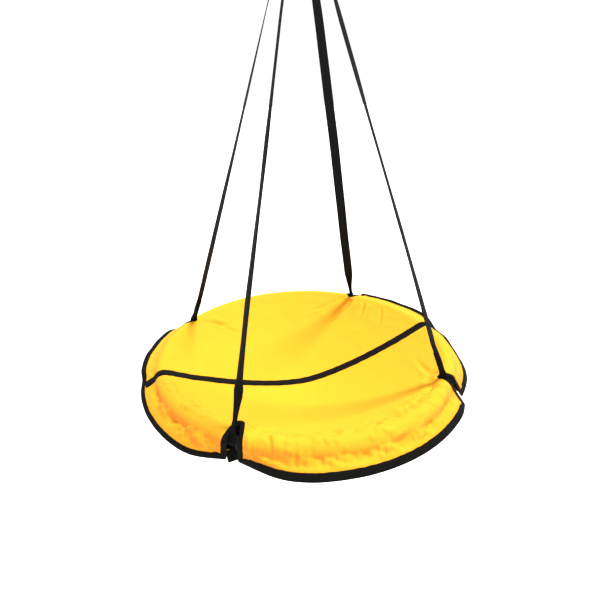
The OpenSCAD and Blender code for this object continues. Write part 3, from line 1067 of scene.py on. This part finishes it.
def facing(side):
    """The strip of cloth that closes the tunnel below the foam, between two notches."""
    first, last = SECTORS[side]
    from_az = NOTCHES[first]
    span = (NOTCHES[last] - from_az) % 360
    section = under_profile()
    rows, cols = len(section), 141
    outer, lower, uvs = [], [], []
    for k, (r, z) in enumerate(section):
        f = k / (rows - 1)
        start, stop = [math.degrees(math.asin((notch_half(n, r) + 0.0045) / r)) for n in (first, last)]
        for j in range(cols):
            theta = math.radians(from_az + start + (span - start - stop) * j / (cols - 1))
            dr, dz = edge_shift(theta)
            w = 1 - smooth(0.0, 0.4, f)
            pucker = 0.0011 * math.sin(theta * 150 + 6 * ring_rough(theta, 9, 8.8) + 5 * f)
            pucker *= window(0.12, 0.3, 0.75, 0.98, f)
            seat_z = ring_rough(theta, 40, 0) * 0.0004 if f > 0.9 else 0.0
            height = HOOP_Z + z + w * dz - abs(pucker) + seat_z
            outer.append(polar(r + w * dr, math.degrees(theta), height))
            uvs.append((theta * HOOP_R, f * 0.13))
    for k in range(rows):
        for j in range(cols):
            i = k * cols + j
            du = outer[min(k + 1, rows - 1) * cols + j] - outer[max(k - 1, 0) * cols + j]
            dv = outer[k * cols + min(j + 1, cols - 1)] - outer[k * cols + max(j - 1, 0)]
            n = du.cross(dv)
            lower.append(outer[i] - unit(n) * CLOTH_T * 0.8)
    n = len(outer)
    firsts = [k * cols + j for k in range(rows - 1) for j in range(cols - 1)]
    top = [(a, a + cols, a + cols + 1, a + 1) for a in firsts]
    rim = [(0, j) for j in range(cols)] + [(k, cols - 1) for k in range(1, rows)]
    rim += [(rows - 1, j) for j in range(cols - 2, -1, -1)] + [(k, 0) for k in range(rows - 2, 0, -1)]
    ids = [k * cols + j for k, j in rim]
    walls = [(a, b, b + n, a + n) for a, b in sides_of(ids)]
    faces = top + [tuple(i + n for i in reversed(f)) for f in top] + walls
    new_piece("facing_" + side, outer + lower, faces, LINING, uvs * 2, "facing_cloth", "tunnel_" + side)


for side in SECTORS:
    facing(side)


# ---------------- foam sleeves and the notch interiors


def foam_sleeve(side):
    """A split foam tube: rounded ends, a closed slit along the outside, and soft compression wrinkles."""
    verts, uvs = [], []
    first, last = (LOOPS[n] for n in SECTORS[side])
    clear, rows, cols, bore_rows = 2.3, 150, 40, 40
    first, last = first + clear, first + (last - first) % 360 - clear
    for i in range(rows):
        f = i / (rows - 1)
        theta = first + (last - first) * f
        ends = min(f, 1 - f) * math.radians(last - first) * HOOP_R
        pull = 1 - 0.16 * bell(ends / 0.004)
        for j in range(cols):
            a = 2 * math.pi * j / cols
            slit = 0.0016 * math.exp(-(((a - 0.5 + math.pi) % (2 * math.pi) - math.pi) / 0.07) ** 2)
            ripple = 0.0005 * rough(theta * 0.9, math.cos(a) * 2, math.sin(a) * 2)
            r = (FOAM_R - 0.0009) * pull - slit + ripple
            verts.append(polar(HOOP_R + r * math.cos(a), theta, HOOP_Z + r * math.sin(a)))
            uvs.append((a * FOAM_R, f * 0.64))
    faces = sweep_faces(rows, cols)[:-2]
    inner = len(verts)
    for i in range(bore_rows):
        theta = first + 0.06 + (last - first - 0.12) * i / (bore_rows - 1)
        r = TUBE_R + 0.0004
        for j in range(cols):
            a = 2 * math.pi * j / cols
            verts.append(polar(HOOP_R + r * math.cos(a), theta, HOOP_Z + r * math.sin(a)))
            uvs.append((a * r, (last - first) * 0.0076 * i / bore_rows))
    faces += [f[::-1] for f in sweep_faces(bore_rows, cols, inner)[:-2]]
    for outer, bore, flip in ((0, inner, 1), ((rows - 1) * cols, inner + (bore_rows - 1) * cols, -1)):
        for j in range(cols):
            k = (j + 1) % cols
            faces.append((outer + k, outer + j, bore + j, bore + k)[::flip])
    new_piece("foam_sleeve_" + side, verts, faces, FOAM, uvs, "foam", "foam_" + side)


for side in SECTORS:
    foam_sleeve(side)


# ---------------- centre band


def centre_band():
    """The webbing over the centre seam, stitched along both edges."""
    stitches, low, high, line = Stitches(), [], [], []
    sides = [{i for f, h in zip(cover_faces, cover_half) if h == k for i in f} for k in (0, 1)]
    seam = sorted(sides[0] & sides[1], key=lambda i: cover_points[i].x)
    points = [cover_points[i] for i in seam if abs(cover_points[i].x) < EDGE_R - 0.012]
    for _ in range(3):
        points = relaxed(points)
    verts, uvs = [], []
    for i, (p, along) in enumerate(zip(points, measured(points))):
        ahead = heading(points, i)
        up = unit(Vector((-ahead.z, 0, ahead.x)))
        drift = 0.0011 * rough(along * 9, 5, 0) + 0.0005 * math.sin(along * 160)
        half = BAND_W / 2 * (1 + 0.05 * rough(along * 24, 1, 0))
        top, under = [], []
        for f in (-1, -0.86, -0.4, 0.0, 0.4, 0.86, 1):
            q = p + Vector((0, drift + f * half, 0))
            hit, _ = on_cover(q)
            if (hit - q).length > 0.008:
                hit = q
            lift = 0.0019 + 0.0002 * math.sin(along * 420) - (0.0006 if abs(f) == 1 else 0)
            top.append(hit + up * lift)
            under.append(hit + up * 0.0006)
            if f == -0.86:
                low.append(hit + up * 0.002)
            if f == 0.86:
                high.append(hit + up * 0.002)
        line.append(up)
        ring = top + under[::-1]
        verts += ring
        uvs += [(k * BAND_W / 7, along) for k in range(len(ring))]
    faces = sweep_faces(len(points), len(ring))
    new_piece("centre_band_webbing", verts, faces, WEBBING, uvs, "centre_webbing", "centre_band")
    stitches.line(low, line)
    stitches.line(high, line)
    stitches.piece("stitching_band", THREAD, "centre_webbing")


centre_band()


# ---------------- straps

# How each strap lies: turn of its flat side in degrees at fractions of the way up to the ring.
TWISTS = {
    "front_left": (
        *((0, -22), (0.04, -33), (0.12, -40), (0.2, -38), (0.42, -49)),
        *((0.53, -44), (0.62, -52), (0.8, -53), (1, -62)),
    ),
    "rear_right": ((0, 18), (0.08, 25), (0.3, 35), (0.5, 47), (0.65, 56), (0.82, 68), (1, 76)),
    "rear_left": ((0, 0), (0.2, 3), (0.34, 8), (0.45, 14), (0.56, 19), (0.65, 21), (0.78, 27), (1, 45)),
    "front_right": (
        *((0, -8), (0.13, -3), (0.25, 4), (0.34, 3), (0.42, 8)),
        *((0.6, 8), (0.65, 1), (0.8, 0), (1, -20)),
    ),
}
# How far each strap bows sideways, in mm, at fractions of the way up.
BOWS = {
    "front_left": ((0, 0), (0.2, -5), (0.45, -6), (0.8, -11), (0.92, -7), (1, 0)),
    "rear_right": ((0, 0), (0.2, 3), (0.45, 9), (0.8, 12), (0.92, 8), (1, 0)),
    "rear_left": ((0, 0), (0.5, 1.5), (1, 0)),
    "front_right": ((0, 1), (0.3, 0), (0.55, -4), (0.8, -7), (0.92, -4), (1, 0)),
}
BOW_SIDE = Vector((math.cos(math.radians(19.5)), -math.sin(math.radians(19.5)), 0))
TAB_TURNS = {"front_left": 34, "rear_right": -15, "rear_left": 20, "front_right": -25}
LEANS = {"front_left": -1.5, "front_right": -0.5, "rear_left": 0.5, "rear_right": 1.5}


def eye_line(radius, apex, steps=18):
    """Path of webbing round a rod and back in a plane, as (sideways, lengthwise) from the rod's centre."""
    b = math.acos(radius / apex)
    turns = [b + (2 * math.pi - 2 * b) * i / steps for i in range(steps + 1)]
    return [(radius * math.sin(a), radius * math.cos(a)) for a in turns]


def blurred(t, xs, ys, step):
    """A value from a table, averaged over five places close together."""
    return sum(float(np.interp(t + k * step, xs, ys)) for k in (-2, -1, 0, 1, 2)) / 5


def bunched(b):
    """Width and cupping of the webbing at height b above the hoop: it folds up where it leaves the notch."""
    width = WEB_W - window(0.01, 0.034, 0.045, 0.15, b, 0.021)
    return width, 0.43 * math.sqrt(max(WEB_W**2 - width**2, 0))


def cut_end(name, az, at_hoop, hoop_x):
    """The webbing's cut end: a short tab from under the hoop, outwards and down, turned a little."""
    tilt = math.radians(-40)
    outward_down = polar(math.cos(tilt), az) + UP * math.sin(tilt)
    below = polar(math.sin(tilt), az) - UP * math.cos(tilt)
    p = at_hoop + below * (TUBE_R + 0.0034) - hoop_x * (TAB_SHIFT * math.sin(math.radians(TAB_TURNS[name])))
    tab, steps = [], 14
    for i in range(steps):
        t = i / (steps - 1)
        spin = math.radians(TAB_TURNS[name]) * smooth(0.0, 0.6, t)
        along = outward_down * math.cos(spin) + hoop_x * math.sin(spin)
        wide = hoop_x * math.cos(spin) - outward_down * math.sin(spin)
        tab.append((p, wide, below, WEB_W - 0.001 * t, WEB_T, 0.0012 * t))
        p = p + along * (TAB_LENGTH / (steps - 1)) + below * (0.0012 * t)
    return tab


def strap(name, az):
    """One strap: eye round the hoop, twisting free length, folded eye on the ring, cut end and stitching."""
    lean = math.radians(LEANS[name] * LEAN_STEP)
    at_ring = Vector((0, RING_R * math.sin(lean), RING_Z - RING_R * math.cos(lean)))
    at_hoop = polar(HOOP_R, az, HOOP_Z)
    ring_x = Vector((0, math.cos(lean), math.sin(lean)))
    hoop_x = Vector((-math.sin(math.radians(az)), math.cos(math.radians(az)), 0))
    down = across(at_hoop - at_ring, ring_x)
    up = across(at_ring - at_hoop, hoop_x)
    out = unit(hoop_x.cross(up))
    if out.dot(polar(1, az)) < 0:
        out = -out
    low = at_hoop + up * (HOOP_EYE + SEWN)
    loop_at = at_ring + down * 0.0006
    high = loop_at + down * (RING_EYE + FOLDED)
    run = unit(high - low)
    length = (high - low).length
    ribbon, stitches = Ribbon(), Stitches()

    # Lower eye: inner layer, round under the hoop, then the outer layer that goes on up as the strap.
    rod = TUBE_R + WEB_T / 2 + 0.0003
    path = [(-WEB_T * 0.55, HOOP_EYE + SEWN - 0.002 - SEWN * i / 12) for i in range(12)]
    path += [(-a, b) for a, b in eye_line(rod, HOOP_EYE)]
    path += [(WEB_T * 0.55, HOOP_EYE + SEWN * i / 12) for i in range(1, 13)]
    fine = []
    for (a0, b0), (a1, b1) in zip(path, path[1:]):
        parts = 6 if abs(b1 - b0) > 0.02 else 1
        fine += [(a0 + (a1 - a0) * i / parts, b0 + (b1 - b0) * i / parts) for i in range(parts)]
    fine.append(path[-1])
    line = [at_hoop + out * a + up * b for a, b in fine]
    stations = []
    for i, (p, (_, b)) in enumerate(zip(line, fine)):
        face = unit(heading(line, i).cross(hoop_x))
        width, cup = bunched(b)
        cup = math.copysign(cup, face.dot(out)) if b > 0.008 else 0.0
        stations.append((p, hoop_x, face, width, WEB_T, cup))

    # The free length, with its own twists.
    base = across(hoop_x, run)
    face = run.cross(base)
    stop = across(ring_x, run)
    want = math.degrees(math.atan2(stop.dot(face), stop.dot(base)))
    twist_at, twist = map(list, zip(*TWISTS[name]))
    twist[-1] += (want - twist[-1] + 90) % 180 - 90
    count = 170
    start = low + out * (WEB_T * 0.55)
    for i in range(1, count + 1):
        t = i / count
        turn = math.radians(blurred(t, twist_at, twist, 0.015) * smooth(0, 0.03, t))
        wide = base * math.cos(turn) + face * math.sin(turn)
        normal = unit(run.cross(wide))
        fold = smooth(0.9, 0.985, t)
        width, cup = bunched(HOOP_EYE + SEWN + t * length)
        width += (FOLD_W - width) * fold
        cup = max(cup, 0.43 * math.sqrt(WEB_W**2 - width**2)) * (1 - smooth(0.97, 1, t))
        cup += 0.001 * math.sin(math.pi * t) * (1 + rough(t * 6, az, 4))
        wander = wide * (0.0006 * rough(t * 9, az, 0))
        thick = WEB_T + (FOLD_T - WEB_T) * fold
        bow = blurred(t, *zip(*BOWS[name]), 0.02) * (window(0, 0.05, 0.95, 1, t) / 1000)
        p = start.lerp(high + down * 0.001, t) + wander + BOW_SIDE * bow
        stations.append((p, wide, normal, width, thick, cup if face.dot(out) > 0 else -cup))

    # Upper eye: folded lengthwise, round the ring and back down inside itself.
    flip = 1 if stations[-1][1].dot(ring_x) > 0 else -1
    side = unit(ring_x.cross(down)) * flip
    path = [(FOLD_T * 0.55, RING_EYE + FOLDED - FOLDED * i / 6) for i in range(7)]
    path += eye_line(ROD_R + 0.0012 + FOLD_T / 2, RING_EYE)
    path += [(-FOLD_T * 0.55, RING_EYE + 0.038 * i / 6) for i in range(7)]
    line = [loop_at + side * a + down * b for a, b in path]
    for i, p in enumerate(line):
        wide = ring_x * flip
        stations.append((p, wide, unit(heading(line, i).cross(wide)), FOLD_W, FOLD_T, 0.0))
    ribbon.strip(stations)

    ribbon.strip(cut_end(name, az, at_hoop, hoop_x))
    parts = (ribbon.verts, ribbon.faces, WEBBING, ribbon.uvs)
    new_piece("strap_webbing_" + name, *parts, "strap_webbing", "strap_" + name)

    # Box and cross stitching on both faces of the sewn part, and bars on the folded part at the ring.
    for sign in (1, -1):

        def sewn_point(f, b):
            width, cup = bunched(HOOP_EYE + b)
            lift = cup * (1 - 4 * f * f) + sign * (WEB_T * 1.05 + 0.0002)
            return at_hoop + up * (HOOP_EYE + b) + hoop_x * (f * width) + out * lift

        box = ((-0.34, 0.008), (0.34, 0.008), (0.34, 0.062), (-0.34, 0.062), (-0.34, 0.008), (0.34, 0.062))
        for corners in (box, (box[1], box[3])):
            for (f0, b0), (f1, b1) in zip(corners, corners[1:]):
                points = [sewn_point(f0 + (f1 - f0) * i / 8, b0 + (b1 - b0) * i / 8) for i in range(9)]
                stitches.line(points, [out * sign] * 8)
        lift = side * (sign * (FOLD_T * 1.05 + 0.0002))
        for b in (0.028, 0.034, 0.05, 0.056):
            points = [loop_at + ring_x * a + down * b + lift for a in (-0.0048, 0.0048)]
            stitches.line(points, [side * sign], 0.0024)
    stitches.piece("stitching_strap_" + name, THREAD, "strap_webbing")


for name, az in LOOPS.items():
    strap(name, az)


# ---------------- carried-over hardware


def dress(material, *nodes):
    for n in nodes:
        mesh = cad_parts[n].data
        mesh.materials.clear()
        mesh.materials.append(material)


dress(ZINC, "swivel_top_eye", "swivel_cup", "swivel_bottom_eye", "swivel_nut")
dress(ZINC, "hanging_ring", "hoop_screws", "hoop_nuts")
dress(FORGED, "hook_body", "hook_gate")
dress(POLISHED, "bearing_lower_race", "bearing_balls", "bearing_upper_race", "hook_gate_pin")
dress(WIRE, "hook_gate_spring")
dress(COAT, *("hoop_tube_" + side for side in SECTORS))


# ---------------- floor, light and camera

FLOOR_Z = HOOP_Z - 1.0


def floor():
    size = 40
    corners = [(-size, -size, FLOOR_Z), (size, -size, FLOOR_Z), (size, size, FLOOR_Z), (-size, size, FLOOR_Z)]
    mesh = new_mesh("floor", corners, [(0, 1, 2, 3)])
    mesh.materials.append(floor_material())
    new_object("floor", mesh)


def studio():
    world = bpy.data.worlds.new("studio")
    world.use_nodes = True
    tree = world.node_tree
    background = tree.nodes["Background"]
    background.inputs["Color"].default_value = (1, 1, 1, 1)
    seen = tree.nodes.new("ShaderNodeLightPath").outputs["Is Camera Ray"]
    strength = tree.nodes.new("ShaderNodeMapRange")
    strength.inputs["To Min"].default_value = 0.68
    strength.inputs["To Max"].default_value = 1.05
    tree.links.new(seen, strength.inputs["Value"])
    tree.links.new(strength.outputs["Result"], background.inputs["Strength"])
    bpy.context.scene.world = world
    sun = bpy.data.lights.new("key", "SUN")
    sun.energy = 3.85
    sun.angle = math.radians(14)
    lamp = new_object("key", sun)
    lamp.rotation_mode = "QUATERNION"
    lamp.rotation_quaternion = Vector((-0.42, -0.1, -1.0)).to_track_quat("-Z", "Y")


def camera():
    """The viewpoint: in front, a little to the left, looking down on the seat."""
    azimuth, elevation, distance = math.radians(-19.5), math.radians(31.09), 1.518
    yaw, pitch, roll = math.radians(0.523), math.radians(-6.47), math.radians(-0.736)

    def behind(a, e):
        return Vector((math.sin(a) * math.cos(e), -math.cos(a) * math.cos(e), math.sin(e)))

    ahead = -behind(azimuth + yaw, elevation + pitch)
    right = unit(ahead.cross(UP))
    top = right.cross(ahead)
    right, top = right * math.cos(roll) + top * math.sin(roll), top * math.cos(roll) - right * math.sin(roll)
    data = bpy.data.cameras.new("camera")
    data.sensor_width = 36.0
    data.lens = 28.39
    data.clip_start, data.clip_end = 0.01, 200
    eye = new_object("camera", data)
    turn = Matrix((right, top, -ahead)).transposed().to_4x4()
    eye.matrix_world = Matrix.Translation(HUB + behind(azimuth, elevation) * distance) @ turn
    bpy.context.scene.camera = eye


floor()
studio()
camera()
bpy.context.scene.view_settings.view_transform = "Standard"
